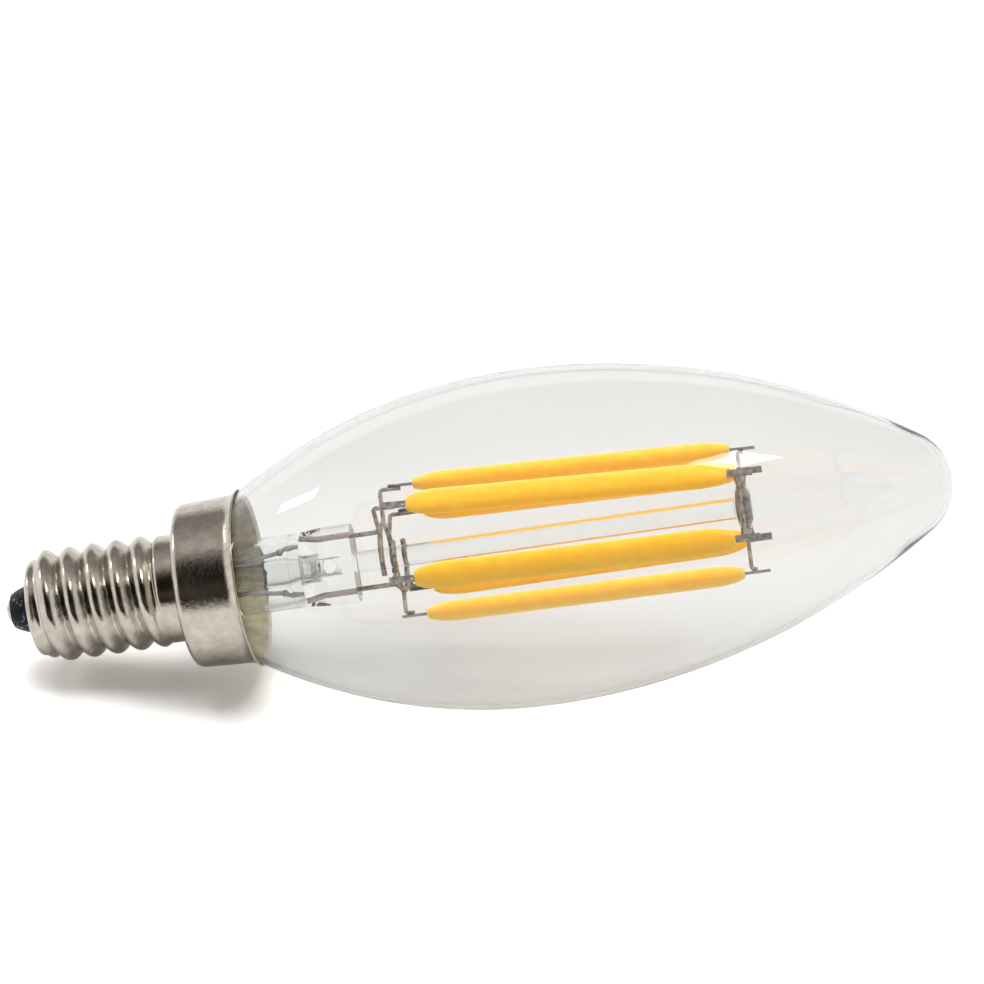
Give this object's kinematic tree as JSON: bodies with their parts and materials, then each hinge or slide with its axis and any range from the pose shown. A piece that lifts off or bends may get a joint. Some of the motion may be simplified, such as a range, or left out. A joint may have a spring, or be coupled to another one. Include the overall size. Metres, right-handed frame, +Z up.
{
  "type": "candle bulb",
  "caption": "Clear candle-shaped filament lamp with a small screw base; light rods in a wire cage around a glass rod, lying on its side.",
  "frame": {"origin": "on the floor, under the middle of the lying bulb's box", "axes": "+X towards the glass tip, level with the floor; +Y across the bulb; +Z up"},
  "size_m": [0.0982, 0.035, 0.0371],
  "materials": {
    "clear_glass": "clear, gloss",
    "nickel_plate": "bright nickel plate",
    "solder": "soft solder",
    "black_glass": "gloss black glass",
    "cement": "matt cement",
    "glow_coat": "soft satin silicone with phosphor",
    "strip_ceramic": "white",
    "tab_metal": "thin plated tab",
    "frame_wire": "drawn nickel wire",
    "lead_wire": "drawn wire",
    "press_copper": "copper-clad wire",
    "board": "glass-fibre board",
    "moulded_black": "moulded package",
    "resistor_lacquer": "lacquer",
    "capacitor_sleeve": "shrink sleeve"
  },
  "bodies": {
    "root": {"base_insulator": "black_glass", "capacitor": "capacitor_sleeve", "cement_ring": "cement", "centre_contact": "solder", "collar": "nickel_plate", "contact_wire": "lead_wire", "driver_board": "board", "driver_chip": "moulded_black", "exhaust_tube": "clear_glass", "fuse_resistor": "resistor_lacquer", "glass_envelope": "clear_glass", "glass_rod": "clear_glass", "light_rod_1_base_tab": "tab_metal", "light_rod_1_coat": "glow_coat", "light_rod_1_strip": "strip_ceramic", "light_rod_1_tip_tab": "tab_metal", "light_rod_2_base_tab": "tab_metal", "light_rod_2_coat": "glow_coat", "light_rod_2_strip": "strip_ceramic", "light_rod_2_tip_tab": "tab_metal", "light_rod_3_base_tab": "tab_metal", "light_rod_3_coat": "glow_coat", "light_rod_3_strip": "strip_ceramic", "light_rod_3_tip_tab": "tab_metal", "light_rod_4_base_tab": "tab_metal", "light_rod_4_coat": "glow_coat", "light_rod_4_strip": "strip_ceramic", "light_rod_4_tip_tab": "tab_metal", "light_rod_5_base_tab": "tab_metal", "light_rod_5_coat": "glow_coat", "light_rod_5_strip": "strip_ceramic", "light_rod_5_tip_tab": "tab_metal", "light_rod_6_base_tab": "tab_metal", "light_rod_6_coat": "glow_coat", "light_rod_6_strip": "strip_ceramic", "light_rod_6_tip_tab": "tab_metal", "lower_base_frame": "frame_wire", "lower_outer_lead": "lead_wire", "lower_press_wire": "press_copper", "rectifier": "moulded_black", "screw_shell": "nickel_plate", "shell_wire": "lead_wire", "stem_glass": "clear_glass", "tip_frame": "frame_wire", "upper_base_frame": "frame_wire", "upper_outer_lead": "lead_wire", "upper_press_wire": "press_copper"}
  },
  "joints": []
}
